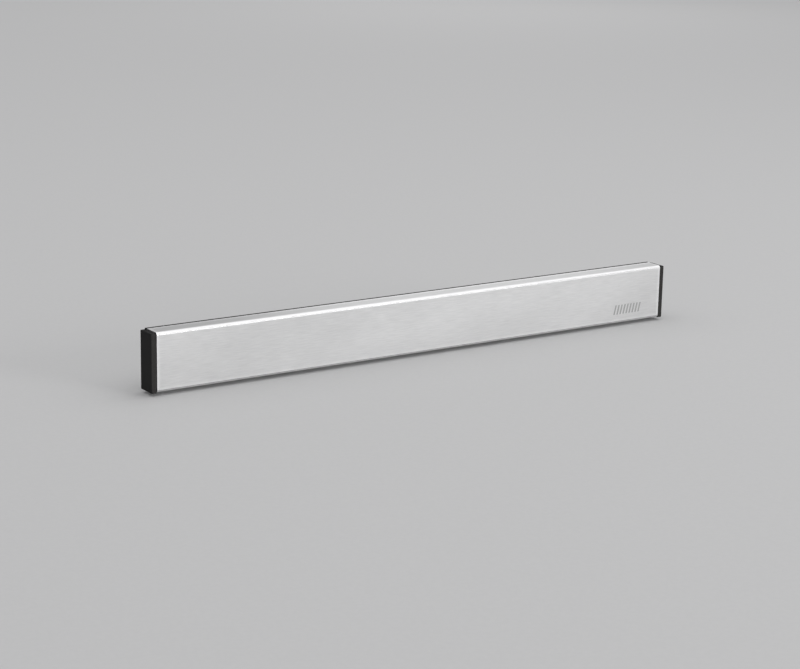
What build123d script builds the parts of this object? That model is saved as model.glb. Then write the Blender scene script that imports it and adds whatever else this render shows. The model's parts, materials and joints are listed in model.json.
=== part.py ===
from build123d import *
import os

# Magnetic knife rack, 400 mm long: a folded stainless cover with moulded end caps, filled with a
# tray of magnets on a steel yoke, that hangs on two hooked plates fixed to the wall.
#
# Millimetres. The origin lies on the wall, at the middle of the rack. X runs along the rack, +Z is up
# and the knife face looks towards -Y. A "depth" is a distance in front of the wall, so a point at
# depth d has y = -d.

# ---- driving dimensions --------------------------------------------------------------------------

LENGTH = 400.0
HEIGHT = 37.0
DEPTH = 16.0

# folded steel cover, a channel with its lips turned in along the back
SHEET = 1.0
FRONT_BEND = 1.8
REAR_BEND = 1.5
COVER_BACK = 2.4
LIP = 3.5
EDGE_BREAK = 0.1

# etched mark: a plain band of slanted bars near the lower right corner of the knife face
MARK_X = 166.6
MARK_Z = -12.3
MARK_BARS = 9
MARK_PITCH = 2.7
MARK_BAR = 1.2
MARK_HEIGHT = 6.6
MARK_LEAN = 1.6
MARK_DEPTH = 0.08

# end caps: an outer wall that sits a little low against the cover, a plug inside the cover, and two
# snap fingers beside the magnet tray
CAP_WALL = 3.0
CAP_HEIGHT = 36.6
CAP_DROP = 0.5
CAP_REVEAL = 0.5
CAP_SETBACK = 0.1
CAP_CORNER = 0.6
CAP_ROUND = 0.3
PLUG_LENGTH = 12.0
PLUG_WALL = 2.0
FINGER_LENGTH = 10.0
FINGER = 1.2
FINGER_WIDTH = 4.0
BARB = 1.0
BARB_LENGTH = 2.0
FINGER_PLAY = 0.1

# layers, counted forwards from the wall
ADHESIVE = 0.5
PLATE = 1.0
PLATE_PLAY = 0.2
WALL_GAP = 1.6
YOKE = 1.5
MAGNET_THICKNESS = 5.0
FILM = 0.2

# play between the moulded parts and the cover
SIDE_PLAY = 0.3
LIP_PLAY = 0.1
CORE_GAP = 0.5

# magnet tray, with two rows of pockets
TRAY_HEIGHT = 31.0
MAGNET_COLUMNS = 10
MAGNET_PITCH = 36.4
MAGNET_LENGTH = 24.0
MAGNET_HEIGHT = 10.0
MAGNET_BREAK = 0.4
ROW_OFFSET = 8.0
MAGNET_PLAY = 0.15
TRAY_RIBS = 9
TRAY_RIB_LENGTH = 6.0
FILM_HEIGHT = 28.0

# hollows moulded into the back shell between the two hanging points
HOLLOW_COLUMNS = 10
HOLLOW_PITCH = 17.0
HOLLOW_LENGTH = 15.2
HOLLOW_HEIGHT = 9.5
HOLLOW_Z = 8.75
HOLLOW_FLOOR = 2.0

# wall plates, each with two lanced hooks and two screw holes
PLATE_X = 130.0
PLATE_LENGTH = 80.0
PLATE_HEIGHT = 30.0
PLATE_CORNER = 4.0
WALL_HOLE_X = 30.0
WALL_HOLE_R = 2.1
WALL_HEAD_R = 5.0
WALL_HEAD_ROOM = 3.0
HOOK_X = 10.0
HOOK_WIDTH = 10.0
HOOK_RISE = 6.0
HOOK_SLIT = 0.5
HOOK_BLANK = 8.6
HOOK_BEND = 1.2
CROTCH_Z = -1.0
LIFT = 7.0
PAD_INSET = 1.0

# hanger plates let into the back shell
HANGER_LENGTH = 46.0
HANGER_HEIGHT = 28.0
HANGER_CORNER = 2.0
HANGER_SCREW_X = 19.0
HANGER_SCREW_Z = 10.0
SLOT_PLAY = 0.75
SEAT_PLAY = 0.05
HOOK_ROOM = 1.6

# countersunk screws: head radius, shank radius, length, and a cross recess in shares of the head
HANGER_SCREW = (1.85, 1.1, 5.0)
TRAY_SCREW = (2.75, 1.45, 11.5)
TRAY_SCREW_X = (26.0, 78.0, 176.0)
RECESS_SPAN = 1.2
RECESS_WIDTH = 0.3
RECESS_DEPTH = 0.8
RECESS_TAPER = 12
HEAD_DROP = 0.1
SCREW_PLAY = 0.05
YOKE_HOLE_R = 1.7

# rubber bumpers that keep the back off the wall
BUMPER_X = 177.0
BUMPER_Z = 10.0
BUMPER_R = 4.0
BUMPER_ROUND = 0.6
BUMPER_STEM_R = 1.5
BUMPER_STEM = 3.0
BUMPER_CLEARANCE = 0.1

# ---- worked out from them --------------------------------------------------------------------------

COVER_HALF = LENGTH / 2 - CAP_WALL - CAP_REVEAL
CAP_INNER = LENGTH / 2 - CAP_WALL
PLUG_END = COVER_HALF - PLUG_LENGTH
CORE_HALF = PLUG_END - CORE_GAP

INNER_FRONT = DEPTH - SHEET
TRAY_FRONT = INNER_FRONT - FILM
TRAY_BACK = TRAY_FRONT - MAGNET_THICKNESS
SHELL_FRONT = TRAY_BACK - YOKE
LIP_FRONT = COVER_BACK + SHEET
LIP_END = HEIGHT / 2 - LIP
BODY_BACK = LIP_FRONT + LIP_PLAY
FLANGE_FRONT = COVER_BACK - LIP_PLAY
NECK_HEIGHT = 2 * (LIP_END - SIDE_PLAY)
BODY_HEIGHT = HEIGHT - 2 * (SHEET + SIDE_PLAY)

PLATE_FRONT = ADHESIVE + PLATE
HANGER_BACK = PLATE_FRONT + PLATE_PLAY
HANGER_FRONT = HANGER_BACK + PLATE
HOOK_BACK = HANGER_FRONT + PLATE_PLAY
HOOK_FRONT = HOOK_BACK + PLATE
SLOT_TOP = CROTCH_Z + SEAT_PLAY
SLOT_BOTTOM = CROTCH_Z - PLATE - LIFT - PLATE_PLAY

SIDES = {"left": -1, "right": 1}

# The section plane is drawn as seen along X: its first axis is the depth and its second is Z.
SECTION = Plane(origin=(0, 0, 0), x_dir=(0, -1, 0), z_dir=(-1, 0, 0))

os.makedirs("parts", exist_ok=True)


# ---- shared shapes ---------------------------------------------------------------------------------


def at_depth(depth):
    """A plane parallel to the wall and facing away from it: what is extruded from it grows forwards."""
    return Plane.XZ.offset(depth)


def facing_wall(depth):
    """A plane parallel to the wall and facing it: a hole bored from it runs forwards."""
    return Plane(origin=(0, -depth, 0), x_dir=(1, 0, 0), z_dir=(0, 1, 0))


def section_at(x):
    """The section plane moved along the rack: what is extruded from it grows towards -X."""
    return SECTION.offset(-x)


def save(builder, name):
    """Labels a finished piece and writes it to its own file."""
    builder.part.label = name
    export_step(builder.part, f"parts/{name}.step")


def band(back, front, height):
    """A rectangle in a section sketch, between two depths."""
    with Locations(((back + front) / 2, 0)):
        Rectangle(front - back, height)


def rounded_band(plane, back, front, height, back_radius, front_radius):
    """A section between two depths with its back and its front corners rounded."""
    with BuildSketch(plane) as outline:
        band(back, front, height)
        fillet(outline.vertices().group_by(Axis.X)[-1], front_radius)
        fillet(outline.vertices().group_by(Axis.X)[0], back_radius)
    return outline.sketch


def upright(x, bottom, top, length):
    """A rectangle in a sketch parallel to the wall, between two heights."""
    with Locations((x, (bottom + top) / 2)):
        Rectangle(length, top - bottom)


def screw(head_r, shank_r, length):
    """A countersunk screw with a cross recess. It points along -Z, with its head's top at the origin."""
    cone = head_r - shank_r
    tip = 2 * shank_r
    with BuildPart() as body:
        with BuildSketch(Plane.XZ):
            with BuildLine():
                Polyline(
                    (0, 0),
                    (head_r, 0),
                    (shank_r, -cone),
                    (shank_r, tip - length),
                    (shank_r / 3, -length),
                    (0, -length),
                    close=True,
                )
            make_face()
        revolve(axis=Axis.Z)
        with BuildSketch():
            Rectangle(RECESS_SPAN * head_r, RECESS_WIDTH * head_r)
            Rectangle(RECESS_WIDTH * head_r, RECESS_SPAN * head_r)
        extrude(amount=-RECESS_DEPTH * cone, taper=RECESS_TAPER, mode=Mode.SUBTRACT)
    return body.part


def screw_holes(head_r, shank_r, depth):
    """Countersunk holes, at the current locations, that such a screw fills with a little play."""
    CounterSinkHole(
        radius=shank_r + SCREW_PLAY,
        counter_sink_radius=head_r + SCREW_PLAY,
        depth=depth,
        counter_sink_angle=90,
    )


# ---- steel cover -----------------------------------------------------------------------------------

with BuildPart() as steel_cover:
    extrude(
        rounded_band(SECTION, COVER_BACK, DEPTH, HEIGHT, REAR_BEND, FRONT_BEND),
        amount=COVER_HALF,
        both=True,
    )
    outer_ends = steel_cover.edges().group_by(Axis.X)
    fillet(outer_ends[0] + outer_ends[-1], EDGE_BREAK)
    extrude(
        rounded_band(
            SECTION, LIP_FRONT, INNER_FRONT, HEIGHT - 2 * SHEET, REAR_BEND - SHEET, FRONT_BEND - SHEET
        ),
        amount=COVER_HALF,
        both=True,
        mode=Mode.SUBTRACT,
    )
    with BuildSketch(SECTION):
        band(COVER_BACK, LIP_FRONT, 2 * LIP_END)
    extrude(amount=COVER_HALF, both=True, mode=Mode.SUBTRACT)
    with BuildSketch(at_depth(DEPTH)):
        with Locations((MARK_X, MARK_Z)):
            with GridLocations(MARK_PITCH, 0, MARK_BARS, 1):
                Polygon(
                    (0, 0),
                    (MARK_BAR, 0),
                    (MARK_BAR + MARK_LEAN, MARK_HEIGHT),
                    (MARK_LEAN, MARK_HEIGHT),
                )
    extrude(amount=-MARK_DEPTH, mode=Mode.SUBTRACT)
save(steel_cover, "steel_cover")


# ---- end caps --------------------------------------------------------------------------------------

with BuildPart() as end_cap_right:
    cap_section = rounded_band(
        section_at(LENGTH / 2), WALL_GAP, DEPTH - CAP_SETBACK, CAP_HEIGHT, CAP_CORNER, CAP_CORNER
    )
    extrude(Pos(0, 0, -CAP_DROP) * cap_section, amount=CAP_WALL)
    fillet(end_cap_right.edges().group_by(Axis.X)[-1], CAP_ROUND)
    # plug inside the cover
    plug_section = rounded_band(
        section_at(CAP_INNER),
        BODY_BACK,
        INNER_FRONT - SIDE_PLAY,
        BODY_HEIGHT,
        REAR_BEND - SHEET,
        FRONT_BEND - SHEET,
    )
    extrude(plug_section, amount=CAP_INNER - PLUG_END)
    # neck between the cover's lips, and the strip behind them
    with BuildSketch(section_at(CAP_INNER)):
        band(WALL_GAP, BODY_BACK, NECK_HEIGHT)
        band(WALL_GAP, FLANGE_FRONT, HEIGHT)
    extrude(amount=CAP_INNER - PLUG_END)
    # the plug is hollow from its inner end
    with BuildSketch(section_at(CAP_INNER - PLUG_WALL)):
        band(BODY_BACK + PLUG_WALL, INNER_FRONT - PLUG_WALL, BODY_HEIGHT - 2 * PLUG_WALL)
    extrude(amount=PLUG_LENGTH, mode=Mode.SUBTRACT)
    # snap fingers, whose barbs reach into notches in the magnet tray
    finger_top = BODY_HEIGHT / 2 - FINGER_PLAY
    finger_bottom = finger_top - FINGER
    finger_tip = PLUG_END - FINGER_LENGTH
    with BuildSketch(at_depth(TRAY_BACK + SIDE_PLAY)):
        with BuildLine():
            Polyline(
                (PLUG_END + PLUG_WALL, finger_top),
                (finger_tip, finger_top),
                (finger_tip, finger_bottom),
                (finger_tip + BARB, finger_bottom - BARB),
                (finger_tip + BARB_LENGTH, finger_bottom - BARB),
                (finger_tip + BARB_LENGTH + BARB / 2, finger_bottom),
                (PLUG_END + PLUG_WALL, finger_bottom),
                close=True,
            )
        make_face()
        mirror(about=Plane.XZ)
    extrude(amount=FINGER_WIDTH)
save(end_cap_right, "end_cap_right")

with BuildPart() as end_cap_left:
    mirror(end_cap_right.part, about=Plane.YZ)
save(end_cap_left, "end_cap_left")


# ---- magnet tray, magnets and the layers around them -----------------------------------------------

with BuildPart() as magnet_tray:
    with BuildSketch(at_depth(TRAY_BACK)):
        Rectangle(2 * CORE_HALF, TRAY_HEIGHT)
        # pockets for the magnets
        with GridLocations(MAGNET_PITCH, 2 * ROW_OFFSET, MAGNET_COLUMNS, 2):
            Rectangle(MAGNET_LENGTH + 2 * MAGNET_PLAY, MAGNET_HEIGHT + 2 * MAGNET_PLAY, mode=Mode.SUBTRACT)
        # notches that the end caps' barbs snap into
        with GridLocations(2 * finger_tip + BARB_LENGTH + BARB, TRAY_HEIGHT, 2, 2):
            Rectangle(2 * BARB_LENGTH, 2 * BARB, mode=Mode.SUBTRACT)
    extrude(amount=MAGNET_THICKNESS)
    # ribs that centre the tray in the cover, short of the cover's front bends
    tray_rib = BODY_HEIGHT / 2 + SIDE_PLAY / 3 - TRAY_HEIGHT / 2
    with BuildSketch(at_depth(TRAY_BACK)):
        with GridLocations(MAGNET_PITCH, TRAY_HEIGHT + tray_rib, TRAY_RIBS, 2):
            Rectangle(TRAY_RIB_LENGTH, tray_rib)
    extrude(amount=MAGNET_THICKNESS - FRONT_BEND / 2)
    # pilot holes for the tray screws
    with Locations(facing_wall(TRAY_BACK)):
        with Locations(*[(side * x, 0) for side in SIDES.values() for x in TRAY_SCREW_X]):
            Hole(radius=TRAY_SCREW[1] + SCREW_PLAY, depth=MAGNET_THICKNESS - PLATE)
save(magnet_tray, "magnet_tray")

for row, row_z in {"upper": ROW_OFFSET, "lower": -ROW_OFFSET}.items():
    for column in range(MAGNET_COLUMNS):
        magnet_x = (column - (MAGNET_COLUMNS - 1) / 2) * MAGNET_PITCH
        with BuildPart() as magnet:
            with BuildSketch(at_depth(TRAY_BACK)):
                with Locations((magnet_x, row_z)):
                    Rectangle(MAGNET_LENGTH, MAGNET_HEIGHT)
            extrude(amount=MAGNET_THICKNESS)
            chamfer(magnet.edges().filter_by(Axis.Y), MAGNET_BREAK)
        save(magnet, f"magnet_{row}_{column + 1:02d}")

with BuildPart() as yoke_plate:
    with BuildSketch(at_depth(SHELL_FRONT)):
        RectangleRounded(2 * CORE_HALF, TRAY_HEIGHT, YOKE)
        with Locations(*[(side * x, 0) for side in SIDES.values() for x in TRAY_SCREW_X]):
            Circle(YOKE_HOLE_R, mode=Mode.SUBTRACT)
    extrude(amount=YOKE)
save(yoke_plate, "yoke_plate")

with BuildPart() as bonding_film:
    with BuildSketch(at_depth(TRAY_FRONT)):
        RectangleRounded(2 * CORE_HALF - TRAY_RIB_LENGTH, FILM_HEIGHT, YOKE)
    extrude(amount=FILM)
save(bonding_film, "bonding_film")


# ---- back shell ------------------------------------------------------------------------------------

with BuildPart() as back_shell:
    # body behind the yoke, neck between the cover's lips, and the strip behind them
    extrude(
        rounded_band(SECTION, BODY_BACK, SHELL_FRONT, BODY_HEIGHT, REAR_BEND - SHEET, SHEET / 2),
        amount=CORE_HALF,
        both=True,
    )
    with BuildSketch(SECTION):
        band(WALL_GAP, BODY_BACK, NECK_HEIGHT)
        band(WALL_GAP, FLANGE_FRONT, HEIGHT)
    extrude(amount=CORE_HALF, both=True)
    # moulded hollows in two rows
    with BuildSketch(at_depth(WALL_GAP)):
        with GridLocations(HOLLOW_PITCH, 2 * HOLLOW_Z, HOLLOW_COLUMNS, 2):
            RectangleRounded(HOLLOW_LENGTH, HOLLOW_HEIGHT, SHEET)
    extrude(amount=SHELL_FRONT - HOLLOW_FLOOR - WALL_GAP, mode=Mode.SUBTRACT)
    # seats for the hanger plates
    with BuildSketch(at_depth(WALL_GAP)):
        with GridLocations(2 * PLATE_X, 0, 2, 1):
            RectangleRounded(
                HANGER_LENGTH + 2 * PLATE_PLAY, HANGER_HEIGHT + 2 * PLATE_PLAY, HANGER_CORNER + PLATE_PLAY
            )
    extrude(amount=HANGER_FRONT - WALL_GAP, mode=Mode.SUBTRACT)
    # room for the hooks, seated and lifted
    with BuildSketch(at_depth(HANGER_FRONT)):
        for side in SIDES.values():
            for hook_side in SIDES.values():
                upright(
                    side * PLATE_X + hook_side * HOOK_X,
                    SLOT_BOTTOM - PLATE_PLAY,
                    CROTCH_Z + HOOK_RISE + SLOT_PLAY,
                    HOOK_WIDTH + 3 * SLOT_PLAY,
                )
    extrude(amount=HOOK_FRONT + HOOK_ROOM - HANGER_FRONT, mode=Mode.SUBTRACT)
    # room for the wall screws' heads, seated and lifted
    with BuildSketch(at_depth(WALL_GAP)):
        with Locations((0, -LIFT / 2)):
            with GridLocations(2 * PLATE_X, 0, 2, 1):
                with GridLocations(2 * WALL_HOLE_X, 0, 2, 1):
                    SlotOverall(2 * WALL_HEAD_R + LIFT, 2 * WALL_HEAD_R, rotation=90)
    extrude(amount=WALL_HEAD_ROOM, mode=Mode.SUBTRACT)
    # holes for the tray screws, the hanger screws and the bumpers' stems
    with Locations(facing_wall(WALL_GAP)):
        with Locations(*[(side * x, 0) for side in SIDES.values() for x in TRAY_SCREW_X]):
            screw_holes(TRAY_SCREW[0] + HEAD_DROP, TRAY_SCREW[1], SHELL_FRONT)
        with GridLocations(2 * BUMPER_X, 2 * BUMPER_Z, 2, 2):
            Hole(radius=BUMPER_STEM_R + SCREW_PLAY, depth=BUMPER_STEM + PLATE_PLAY)
    with Locations(facing_wall(HANGER_FRONT)):
        with GridLocations(2 * PLATE_X, 0, 2, 1):
            with GridLocations(2 * HANGER_SCREW_X, 2 * HANGER_SCREW_Z, 2, 2):
                Hole(radius=HANGER_SCREW[1] + SCREW_PLAY, depth=HANGER_SCREW[2] - PLATE + PLATE_PLAY)
save(back_shell, "back_shell")


# ---- hanger plates, screws and bumpers -------------------------------------------------------------

for name, side in SIDES.items():
    with BuildPart() as hanger_plate:
        with BuildSketch(at_depth(HANGER_BACK)):
            with Locations((side * PLATE_X, 0)):
                RectangleRounded(HANGER_LENGTH, HANGER_HEIGHT, HANGER_CORNER)
        extrude(amount=PLATE)
        with BuildSketch(at_depth(HANGER_BACK)) as slots:
            for hook_side in SIDES.values():
                upright(
                    side * PLATE_X + hook_side * HOOK_X,
                    SLOT_BOTTOM,
                    SLOT_TOP,
                    HOOK_WIDTH + 2 * SLOT_PLAY,
                )
            fillet(slots.vertices(), SLOT_PLAY / 2)
        extrude(amount=PLATE, mode=Mode.SUBTRACT)
        with Locations(facing_wall(HANGER_BACK)):
            with Locations((side * PLATE_X, 0)):
                with GridLocations(2 * HANGER_SCREW_X, 2 * HANGER_SCREW_Z, 2, 2):
                    screw_holes(HANGER_SCREW[0], HANGER_SCREW[1], 2 * PLATE)
    save(hanger_plate, f"hanger_plate_{name}")

with BuildPart() as hanger_screws:
    with Locations(facing_wall(HANGER_BACK)):
        with GridLocations(2 * PLATE_X, 0, 2, 1):
            with GridLocations(2 * HANGER_SCREW_X, 2 * HANGER_SCREW_Z, 2, 2):
                add(screw(*HANGER_SCREW))
save(hanger_screws, "hanger_screws")

with BuildPart() as tray_screws:
    with Locations(facing_wall(WALL_GAP + HEAD_DROP)):
        with Locations(*[(side * x, 0) for side in SIDES.values() for x in TRAY_SCREW_X]):
            add(screw(*TRAY_SCREW))
save(tray_screws, "tray_screws")

for name, side in SIDES.items():
    for level, level_z in {"upper": BUMPER_Z, "lower": -BUMPER_Z}.items():
        with BuildPart() as bumper:
            with BuildSketch(at_depth(BUMPER_CLEARANCE)):
                with Locations((side * BUMPER_X, level_z)):
                    Circle(BUMPER_R)
            extrude(amount=WALL_GAP - BUMPER_CLEARANCE)
            fillet(bumper.edges().group_by(Axis.Y)[-1], BUMPER_ROUND)
            with BuildSketch(at_depth(WALL_GAP)):
                with Locations((side * BUMPER_X, level_z)):
                    Circle(BUMPER_STEM_R)
            extrude(amount=BUMPER_STEM)
        save(bumper, f"bumper_{level}_{name}")


# ---- wall plates and their adhesive pads -----------------------------------------------------------

for name, side in SIDES.items():
    hook_places = [side * PLATE_X - HOOK_X, side * PLATE_X + HOOK_X]

    with BuildPart() as wall_plate:
        with BuildSketch(at_depth(ADHESIVE)):
            with Locations((side * PLATE_X, 0)):
                RectangleRounded(PLATE_LENGTH, PLATE_HEIGHT, PLATE_CORNER)
            # windows that the hooks were lanced from
            for hook_x in hook_places:
                with Locations((hook_x, CROTCH_Z + HOOK_BLANK / 2)):
                    Rectangle(HOOK_WIDTH + 2 * HOOK_SLIT, HOOK_BLANK, mode=Mode.SUBTRACT)
            with Locations((side * PLATE_X, 0)):
                with GridLocations(2 * WALL_HOLE_X, 0, 2, 1):
                    Circle(WALL_HOLE_R, mode=Mode.SUBTRACT)
        extrude(amount=PLATE)
        # hooks: a short leg forwards from the window's lower edge, then up
        for hook_x in hook_places:
            with BuildSketch(section_at(hook_x + HOOK_WIDTH / 2)) as hook:
                with BuildLine():
                    Polyline(
                        (ADHESIVE, CROTCH_Z - PLATE),
                        (HOOK_FRONT, CROTCH_Z - PLATE),
                        (HOOK_FRONT, CROTCH_Z + HOOK_RISE),
                        (HOOK_BACK, CROTCH_Z + HOOK_RISE),
                        (HOOK_BACK, CROTCH_Z),
                        (ADHESIVE, CROTCH_Z),
                        close=True,
                    )
                make_face()
                fillet(hook.vertices().group_by(Axis.Y)[0].sort_by(Axis.X)[-1], HOOK_BEND)
                fillet(hook.vertices().group_by(Axis.Y)[-1], PLATE / 3)
            extrude(amount=HOOK_WIDTH)
    save(wall_plate, f"wall_plate_{name}")

    with BuildPart() as adhesive_pad:
        with BuildSketch(at_depth(0)):
            with Locations((side * PLATE_X, 0)):
                RectangleRounded(
                    PLATE_LENGTH - 2 * PAD_INSET, PLATE_HEIGHT - 2 * PAD_INSET, PLATE_CORNER - PAD_INSET
                )
                with GridLocations(2 * WALL_HOLE_X, 0, 2, 1):
                    Circle(2 * WALL_HOLE_R, mode=Mode.SUBTRACT)
            for hook_x in hook_places:
                with Locations((hook_x, CROTCH_Z + HOOK_BLANK / 2)):
                    Rectangle(HOOK_WIDTH + 2 * PAD_INSET, HOOK_BLANK + PAD_INSET, mode=Mode.SUBTRACT)
        extrude(amount=ADHESIVE)
    save(adhesive_pad, f"adhesive_pad_{name}")
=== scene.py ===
import json
import math

import bpy
from mathutils import Matrix, Vector


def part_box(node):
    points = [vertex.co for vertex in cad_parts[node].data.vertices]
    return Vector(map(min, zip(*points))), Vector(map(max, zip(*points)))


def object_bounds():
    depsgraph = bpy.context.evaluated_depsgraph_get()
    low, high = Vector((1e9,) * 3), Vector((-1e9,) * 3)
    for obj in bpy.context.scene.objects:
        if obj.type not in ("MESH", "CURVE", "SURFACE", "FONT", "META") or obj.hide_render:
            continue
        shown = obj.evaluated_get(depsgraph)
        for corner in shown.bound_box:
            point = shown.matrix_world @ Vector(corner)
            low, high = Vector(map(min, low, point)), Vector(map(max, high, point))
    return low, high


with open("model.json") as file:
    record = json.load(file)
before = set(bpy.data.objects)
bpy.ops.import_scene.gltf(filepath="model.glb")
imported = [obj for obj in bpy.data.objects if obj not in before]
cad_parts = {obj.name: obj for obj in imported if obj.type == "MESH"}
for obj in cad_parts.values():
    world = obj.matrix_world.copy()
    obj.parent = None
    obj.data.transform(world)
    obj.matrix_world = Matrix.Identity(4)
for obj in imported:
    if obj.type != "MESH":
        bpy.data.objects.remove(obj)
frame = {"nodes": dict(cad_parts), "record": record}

# A wall-mounted magnetic knife rack, in metres. X runs along the rack, +Z is up, the knife face looks
# towards -Y and the wall it hangs on is the plane y = 0.

MM = 0.001
nodes = frame["nodes"]
cad_low, cad_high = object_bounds()
cover_low, cover_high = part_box("steel_cover")
face_centre = Vector((0, cover_low.y, (cover_low.z + cover_high.z) / 2))


# ---- shader helpers --------------------------------------------------------------------------------

# Most values of a noise texture lie between these two.
NOISE_LOW = 0.35
NOISE_HIGH = 0.65

# A Mix node lists its colour sockets after its number and vector ones.
MIX_COLOURS = (6, 7)
MIX_RESULT = 2


class Shader:
    """A node material with a Principled BSDF, and short calls for the nodes that feed it."""

    def __init__(self, name):
        self.material = bpy.data.materials.new(name)
        self.material.use_nodes = True
        self.tree = self.material.node_tree
        self.bsdf = self.tree.nodes["Principled BSDF"]
        self.coords = self.tree.nodes.new("ShaderNodeTexCoord")

    def set(self, **values):
        """Sets the BSDF's own sockets. Underscores in a name stand for spaces."""
        for key, value in values.items():
            self.bsdf.inputs[key.replace("_", " ")].default_value = value

    def link(self, source, target):
        self.tree.links.new(source, target)

    def finish(self, colour, rough=None):
        """Links the colour, and the roughness where it varies, and returns the material."""
        self.link(colour, self.bsdf.inputs["Base Color"])
        if rough is not None:
            self.link(rough, self.bsdf.inputs["Roughness"])
        return self.material

    def axis(self, letter):
        """One object coordinate, in metres."""
        node = self.tree.nodes.new("ShaderNodeSeparateXYZ")
        self.link(self.coords.outputs["Object"], node.inputs["Vector"])
        return node.outputs[letter]

    def noise(self, along, across=None, detail=3.0, roughness=0.5):
        """Noise with about so many features in a metre along X and, where that differs, across it."""
        if across is None:
            across = along
        scaled = self.tree.nodes.new("ShaderNodeMapping")
        scaled.inputs["Scale"].default_value = (along, across, across)
        self.link(self.coords.outputs["Object"], scaled.inputs["Vector"])
        node = self.tree.nodes.new("ShaderNodeTexNoise")
        node.inputs["Scale"].default_value = 1.0
        node.inputs["Detail"].default_value = detail
        node.inputs["Roughness"].default_value = roughness
        self.link(scaled.outputs["Vector"], node.inputs["Vector"])
        return node.outputs["Fac"]

    def remap(self, value, start, end, low, high):
        """A value from start to end mapped onto low to high, and held there beyond them."""
        node = self.tree.nodes.new("ShaderNodeMapRange")
        node.inputs["From Min"].default_value = start
        node.inputs["From Max"].default_value = end
        node.inputs["To Min"].default_value = low
        node.inputs["To Max"].default_value = high
        self.link(value, node.inputs["Value"])
        return node.outputs["Result"]

    def vary(self, noise, low, high):
        """A noise mapped onto low to high."""
        return self.remap(noise, NOISE_LOW, NOISE_HIGH, low, high)

    def rise(self, value, fade):
        """0 before a fade, 1 after it."""
        return self.remap(value, *fade, 0.0, 1.0)

    def fall(self, value, fade):
        """1 before a fade, 0 after it."""
        return self.remap(value, *fade, 1.0, 0.0)

    def math(self, operation, first, second=0.0):
        """A Math node on two values, each a number or an output."""
        node = self.tree.nodes.new("ShaderNodeMath")
        node.operation = operation
        for socket, value in zip(node.inputs, (first, second)):
            if isinstance(value, (int, float)):
                socket.default_value = value
            else:
                self.link(value, socket)
        return node.outputs["Value"]

    def blend(self, factor, first, second):
        """Two colours, each a tuple or an output, mixed by a factor."""
        node = self.tree.nodes.new("ShaderNodeMix")
        node.data_type = "RGBA"
        self.link(factor, node.inputs["Factor"])
        for index, value in zip(MIX_COLOURS, (first, second)):
            if isinstance(value, tuple):
                node.inputs[index].default_value = (*value, 1.0)
            else:
                self.link(value, node.inputs[index])
        return node.outputs[MIX_RESULT]

    def bump(self, height, relief):
        """A bump whose height of 1 stands a relief, in millimetres, off the surface."""
        node = self.tree.nodes.new("ShaderNodeBump")
        node.inputs["Strength"].default_value = 1.0
        node.inputs["Distance"].default_value = relief * MM
        self.link(height, node.inputs["Height"])
        self.link(node.outputs["Normal"], self.bsdf.inputs["Normal"])


def grey(value, warmth=0.0):
    """A neutral colour, or a slightly warm one."""
    return (value * (1 + warmth), value, value * (1 - warmth))


# ---- steel sheet -----------------------------------------------------------------------------------

# Noise scales are features in a metre, along X and across it. Roughness swings go both ways.
CLOUD_SCALE = (10.0, 28.0)
CLOUD_ROUGHNESS = 0.005
GRAIN_SCALE = (90.0, 1500.0)
GRAIN_ROUGHNESS = 0.03


def satin_stainless(name, low, high, roughness, relief, streaks):
    """The shader, colour and roughness of a sheet with a fine grain along X and faint cloudiness.

    Streaks is the grain's share of the swing in tone from low to high.
    """
    shader = Shader(name)
    shader.set(Metallic=1.0)
    cloud = shader.noise(*CLOUD_SCALE, detail=4.0)
    grain = shader.noise(*GRAIN_SCALE, roughness=0.7)
    cloud_tone = shader.vary(cloud, 0.0, 1.0 - streaks)
    grain_tone = shader.vary(grain, 0.0, streaks)
    colour = shader.blend(shader.math("ADD", cloud_tone, grain_tone), grey(low), grey(high))
    cloud_rough = shader.vary(cloud, -CLOUD_ROUGHNESS, CLOUD_ROUGHNESS)
    grain_rough = shader.vary(grain, -GRAIN_ROUGHNESS, GRAIN_ROUGHNESS)
    rough = shader.math("ADD", shader.math("ADD", cloud_rough, grain_rough), roughness)
    shader.bump(grain, relief)
    return shader, colour, rough


def hanger_steel(name, low, high, roughness, relief):
    """Plain stainless sheet, for the plates behind the rack."""
    shader, colour, rough = satin_stainless(name, low, high, roughness, relief, streaks=0.4)
    return shader.finish(colour, rough)


def fade(place, start, end):
    """A fade in one coordinate. Start and end are in millimetres past a place in metres."""
    return place + start * MM, place + end * MM


# Where the cover's look changes. Each fade runs along the axis of the place it is measured from.
BEND_BACK = fade(cover_low.y, 1.6, 2.4)
BEND_TOP = fade(cover_high.z, -2.0, -1.2)
END_RIM = fade(cover_high.x, -2.4, -0.6)
LOW_RIM = fade(cover_low.z, 1.6, 3.5)
BACK_RIM = fade(cover_high.y, -5.1, -2.1)
BARS_FRONT = fade(cover_low.y, 0.02, 0.05)
BARS_BACK = fade(cover_low.y, 0.1, 0.12)

# painted shade: the flanges' darker grey
FLANGE_SHADE_GREY = 0.72
# painted highlight: the upper bend's bright grey and how much of it shows
BEND_HIGHLIGHT_GREY = 0.86
BEND_HIGHLIGHT_SHARE = 0.85
# painted highlight: the rims' bright grey, and the patches it comes in
RIM_HIGHLIGHT_GREY = 0.97
RIM_HIGHLIGHT_LEAST = 0.55
RIM_HIGHLIGHT_SCALE = (220.0, 900.0)
ETCHED_GREY = 0.46
ETCHED_ROUGHNESS = 0.2


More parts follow.
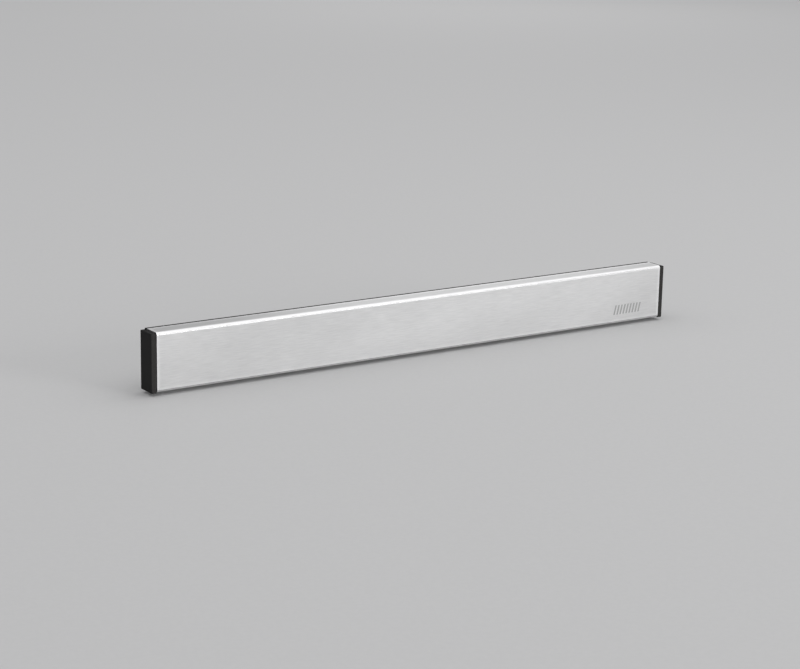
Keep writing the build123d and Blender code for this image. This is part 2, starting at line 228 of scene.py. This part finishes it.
def cover_steel(name, low, high, roughness, relief):
    """The cover's sheet: painted shade on the flanges, a painted highlight of even tone along the upper
    bend and in patches along its rims, frosted in the mark.
    """
    shader, colour, rough = satin_stainless(name, low, high, roughness, relief, streaks=0.5)
    across = shader.math("ABSOLUTE", shader.axis("X"))
    depth = shader.axis("Y")
    height = shader.axis("Z")

    # painted shade: the flanges behind the bends are painted a little darker than the knife face
    behind = shader.rise(depth, BEND_BACK)
    colour = shader.blend(behind, colour, grey(FLANGE_SHADE_GREY))

    # painted highlight: the upper bend is painted an even bright tone
    upper = shader.remap(height, *BEND_TOP, 0.0, BEND_HIGHLIGHT_SHARE)
    bend_highlight = shader.math("MULTIPLY", upper, shader.math("SUBTRACT", 1.0, behind))
    colour = shader.blend(bend_highlight, colour, grey(BEND_HIGHLIGHT_GREY))

    # painted highlight: the rims are painted bright, in patches
    rim = shader.math("MAXIMUM", shader.rise(across, END_RIM), shader.fall(height, LOW_RIM))
    rim = shader.math("MAXIMUM", rim, shader.rise(depth, BACK_RIM))
    highlight_patches = shader.vary(shader.noise(*RIM_HIGHLIGHT_SCALE), RIM_HIGHLIGHT_LEAST, 1.0)
    colour = shader.blend(shader.math("MULTIPLY", rim, highlight_patches), colour, grey(RIM_HIGHLIGHT_GREY))

    # the etched bars' floors lie just behind the knife face
    etched = shader.math("MULTIPLY", shader.rise(depth, BARS_FRONT), shader.fall(depth, BARS_BACK))
    colour = shader.blend(etched, colour, grey(ETCHED_GREY))
    rough = shader.math("ADD", rough, shader.math("MULTIPLY", etched, ETCHED_ROUGHNESS))
    return shader.finish(colour, rough)


# ---- mouldings -------------------------------------------------------------------------------------

PLASTIC_IOR = 1.5
SPARK_SCALE = 2400.0
SPARK_ROUGHNESS = 0.06
PATCH_SCALE = 60.0

# The end caps' outer walls begin past the cover's ends. Their fronts are painted paler as painted
# light, and their other walls a deeper black as painted shade.
CAP_START = fade(cover_high.x, 0.1, 0.4)
CAP_FRONT = fade(cover_low.y, 0.15, 0.6)
CAP_SHADE_GREY = 0.014
CAP_LIT_GREY = 0.052
CAP_LIT_WARMTH = 0.03
CAP_LIT_LEAST = 0.6


def cap_walls(shader, colour, fine):
    """Painted shade: a deeper black for the end caps' outer walls, with painted light making them paler
    along the front.
    """
    across = shader.math("ABSOLUTE", shader.axis("X"))
    front = shader.fall(shader.axis("Y"), CAP_FRONT)
    lit_front = shader.math("MULTIPLY", front, shader.vary(fine, CAP_LIT_LEAST, 1.0))
    wall = shader.blend(lit_front, grey(CAP_SHADE_GREY), grey(CAP_LIT_GREY, CAP_LIT_WARMTH))
    return shader.blend(shader.rise(across, CAP_START), colour, wall)


def moulded_plastic(name, low, high, roughness, relief, gloss=0.5, caps=False):
    """Moulded plastic with a fine spark-eroded texture, and the end caps' walls with painted shade and
    painted light if asked.
    """
    shader = Shader(name)
    shader.set(Metallic=0.0, IOR=PLASTIC_IOR, Specular_IOR_Level=gloss)
    fine = shader.noise(SPARK_SCALE)
    patch = shader.noise(PATCH_SCALE, detail=2.0)
    colour = shader.blend(shader.vary(patch, 0.0, 1.0), grey(low), grey(high))
    if caps:
        colour = cap_walls(shader, colour, fine)
    rough = shader.vary(fine, roughness - SPARK_ROUGHNESS, roughness + SPARK_ROUGHNESS)
    shader.bump(fine, relief)
    return shader.finish(colour, rough)


# ---- plating, foam and rubber ----------------------------------------------------------------------

PLATING_PATCH_SCALE = 300.0
PLATING_GRAIN_SCALE = 3000.0
PLATING_SMOOTHEST = -0.05
PLATING_ROUGHEST = 0.08
PLATING_RELIEF = 0.01

PORE_SCALE = 2200.0
PORE_RELIEF = 0.06
FOAM_ROUGHNESS = 0.9

BLOOM_SCALE = 900.0
BLOOM_RELIEF = 0.02
RUBBER_ROUGHNESS = 0.75


def plated_steel(name, low, high, roughness, warmth=0.0):
    """Zinc or nickel plating, slightly uneven in tone."""
    shader = Shader(name)
    shader.set(Metallic=1.0)
    patch = shader.noise(PLATING_PATCH_SCALE)
    fine = shader.noise(PLATING_GRAIN_SCALE, detail=2.0)
    colour = shader.blend(shader.vary(patch, 0.0, 1.0), grey(low, warmth), grey(high, warmth))
    rough = shader.vary(patch, roughness + PLATING_SMOOTHEST, roughness + PLATING_ROUGHEST)
    shader.bump(fine, PLATING_RELIEF)
    return shader.finish(colour, rough)


def foam(name, low, high):
    """Closed-cell foam tape: matt, with fine pores."""
    shader = Shader(name)
    shader.set(Metallic=0.0, Roughness=FOAM_ROUGHNESS)
    pores = shader.noise(PORE_SCALE, detail=4.0, roughness=0.7)
    shader.bump(pores, PORE_RELIEF)
    return shader.finish(shader.blend(shader.vary(pores, 0.0, 1.0), grey(low), grey(high)))


def rubber(name, low, high):
    """Soft black rubber with a dusty bloom."""
    shader = Shader(name)
    shader.set(Metallic=0.0, Roughness=RUBBER_ROUGHNESS)
    bloom = shader.noise(BLOOM_SCALE, detail=4.0)
    shader.bump(bloom, BLOOM_RELIEF)
    return shader.finish(shader.blend(shader.vary(bloom, 0.0, 1.0), grey(low), grey(high)))


# ---- materials on the CAD nodes --------------------------------------------------------------------

# Low and high are the greys that a finish swings between, and relief is in millimetres.
materials = {
    "satin_stainless": cover_steel(
        "satin_stainless", low=0.73, high=0.88, roughness=0.36, relief=0.003
    ),
    "hanger_stainless": hanger_steel(
        "hanger_stainless", low=0.50, high=0.58, roughness=0.32, relief=0.004
    ),
    "plate_stainless": hanger_steel(
        "plate_stainless", low=0.56, high=0.66, roughness=0.30, relief=0.006
    ),
    "black_plastic": moulded_plastic(
        "black_plastic", low=0.028, high=0.036, roughness=0.50, relief=0.03, gloss=0.05, caps=True
    ),
    "tray_plastic": moulded_plastic("tray_plastic", low=0.50, high=0.56, roughness=0.50, relief=0.02),
    "film": moulded_plastic("film", low=0.60, high=0.66, roughness=0.40, relief=0.01),
    "zinc_steel": plated_steel("zinc_steel", low=0.46, high=0.58, roughness=0.34),
    "magnet_nickel": plated_steel("magnet_nickel", low=0.58, high=0.64, roughness=0.22, warmth=0.03),
    "screw_steel": plated_steel("screw_steel", low=0.48, high=0.60, roughness=0.30),
    "adhesive_foam": foam("adhesive_foam", low=0.16, high=0.30),
    "bumper_rubber": rubber("bumper_rubber", low=0.014, high=0.028),
}

for part in frame["record"]["subparts"]:
    mesh = nodes[part["node"]].data
    mesh.materials.clear()
    mesh.materials.append(materials[part["material_slot"]])


# ---- studio ----------------------------------------------------------------------------------------

FLOOR_GAP = 2.0 * MM
FLOOR_HALF = 6.0
FLOOR_ROUGHNESS = 0.85
FLOOR_SCALE = 400.0
FLOOR_LOW = 0.58
FLOOR_HIGH = 0.59

# The dome's light rises between these two heights on a sphere of radius 1.
DOME_DIM_HEIGHT = 0.35
DOME_BRIGHT_HEIGHT = 0.75
DOME_COLOUR = (0.985, 0.985, 0.995, 1.0)


def floor_paint():
    """A matt, nearly even pale grey."""
    shader = Shader("floor")
    shader.set(Roughness=FLOOR_ROUGHNESS)
    grain = shader.noise(FLOOR_SCALE, detail=2.0)
    return shader.finish(shader.blend(shader.vary(grain, 0.0, 1.0), grey(FLOOR_LOW), grey(FLOOR_HIGH)))


def pale_floor():
    """A wide pale floor just below the rack."""
    half = FLOOR_HALF
    outline = ((-half, -half), (half, -half), (half, half), (-half, half))
    mesh = bpy.data.meshes.new("floor")
    mesh.from_pydata([(x, y, cad_low.z - FLOOR_GAP) for x, y in outline], [], [(0, 1, 2, 3)])
    mesh.materials.append(floor_paint())
    floor = bpy.data.objects.new("floor", mesh)
    bpy.context.scene.collection.objects.link(floor)


def studio_world(horizon, overhead):
    """A plain light dome, dim near the horizon and bright overhead."""
    world = bpy.data.worlds.new("studio")
    world.use_nodes = True
    tree = world.node_tree
    background = tree.nodes["Background"]
    direction = tree.nodes.new("ShaderNodeTexCoord")
    split = tree.nodes.new("ShaderNodeSeparateXYZ")
    rise = tree.nodes.new("ShaderNodeMapRange")
    rise.interpolation_type = "SMOOTHSTEP"
    rise.inputs["From Min"].default_value = DOME_DIM_HEIGHT
    rise.inputs["From Max"].default_value = DOME_BRIGHT_HEIGHT
    rise.inputs["To Min"].default_value = horizon
    rise.inputs["To Max"].default_value = overhead
    tree.links.new(direction.outputs["Generated"], split.inputs["Vector"])
    tree.links.new(split.outputs["Z"], rise.inputs["Value"])
    tree.links.new(rise.outputs["Result"], background.inputs["Strength"])
    background.inputs["Color"].default_value = DOME_COLOUR
    bpy.context.scene.world = world


def aim(location, target):
    """A matrix that stands at a location and looks at a target with no roll."""
    look = (Vector(target) - Vector(location)).to_track_quat("-Z", "Y").to_matrix().to_4x4()
    return Matrix.Translation(location) @ look


def soft_light(name, direction, distance, width, height, power, spread=180):
    """A soft panel light that looks at the rack from a direction and isn't seen by the camera.

    Spread is how wide it shines, in degrees.
    """
    data = bpy.data.lights.new(name, "AREA")
    data.shape = "RECTANGLE"
    data.size = width
    data.size_y = height
    data.energy = power
    data.spread = math.radians(spread)
    light = bpy.data.objects.new(name, data)
    light.matrix_world = aim(face_centre + Vector(direction).normalized() * distance, face_centre)
    light.visible_camera = False
    bpy.context.scene.collection.objects.link(light)


pale_floor()
studio_world(horizon=0.40, overhead=0.90)
soft_light("key", direction=(0.55, -0.24, 0.80), distance=1.8, width=2.0, height=2.0, power=4.8)
# the fill is narrow, so that it lights the knife face and little of the floor
soft_light(
    "fill", direction=(0.42, -0.85, 0.21), distance=4.0, width=1.6, height=1.0, power=3.05, spread=44
)
soft_light("rim", direction=(0.60, 0.80, 0.25), distance=3.0, width=0.8, height=0.8, power=1.4)


# ---- camera ----------------------------------------------------------------------------------------

# Angles in radians, place in metres, lens and sensor in millimetres, clipping in metres.
YAW = math.radians(34.371)
PITCH = math.radians(13.910)
ROLL = math.radians(1.100)
CAMERA_PLACE = Vector((-0.7377, -1.0622, 0.3098))
LENS = 91.65
SENSOR_WIDTH = 36.0
CLIP_START = 0.01
CLIP_END = 50.0


def photo_camera():
    """The camera at the rack's left, a little above it and turned towards its middle."""
    data = bpy.data.cameras.new("camera")
    data.lens = LENS
    data.sensor_width = SENSOR_WIDTH
    data.clip_start = CLIP_START
    data.clip_end = CLIP_END
    camera = bpy.data.objects.new("camera", data)
    level = Vector((math.sin(YAW), math.cos(YAW), 0))
    forward = math.cos(PITCH) * level - math.sin(PITCH) * Vector((0, 0, 1))
    right = Vector((math.cos(YAW), -math.sin(YAW), 0))
    up = right.cross(forward)
    right, up = (
        math.cos(ROLL) * right + math.sin(ROLL) * up,
        math.cos(ROLL) * up - math.sin(ROLL) * right,
    )
    turn = Matrix((right, up, -forward)).transposed().to_4x4()
    camera.matrix_world = Matrix.Translation(CAMERA_PLACE) @ turn
    bpy.context.scene.collection.objects.link(camera)
    bpy.context.scene.camera = camera


photo_camera()
bpy.context.scene.view_settings.view_transform = "Standard"
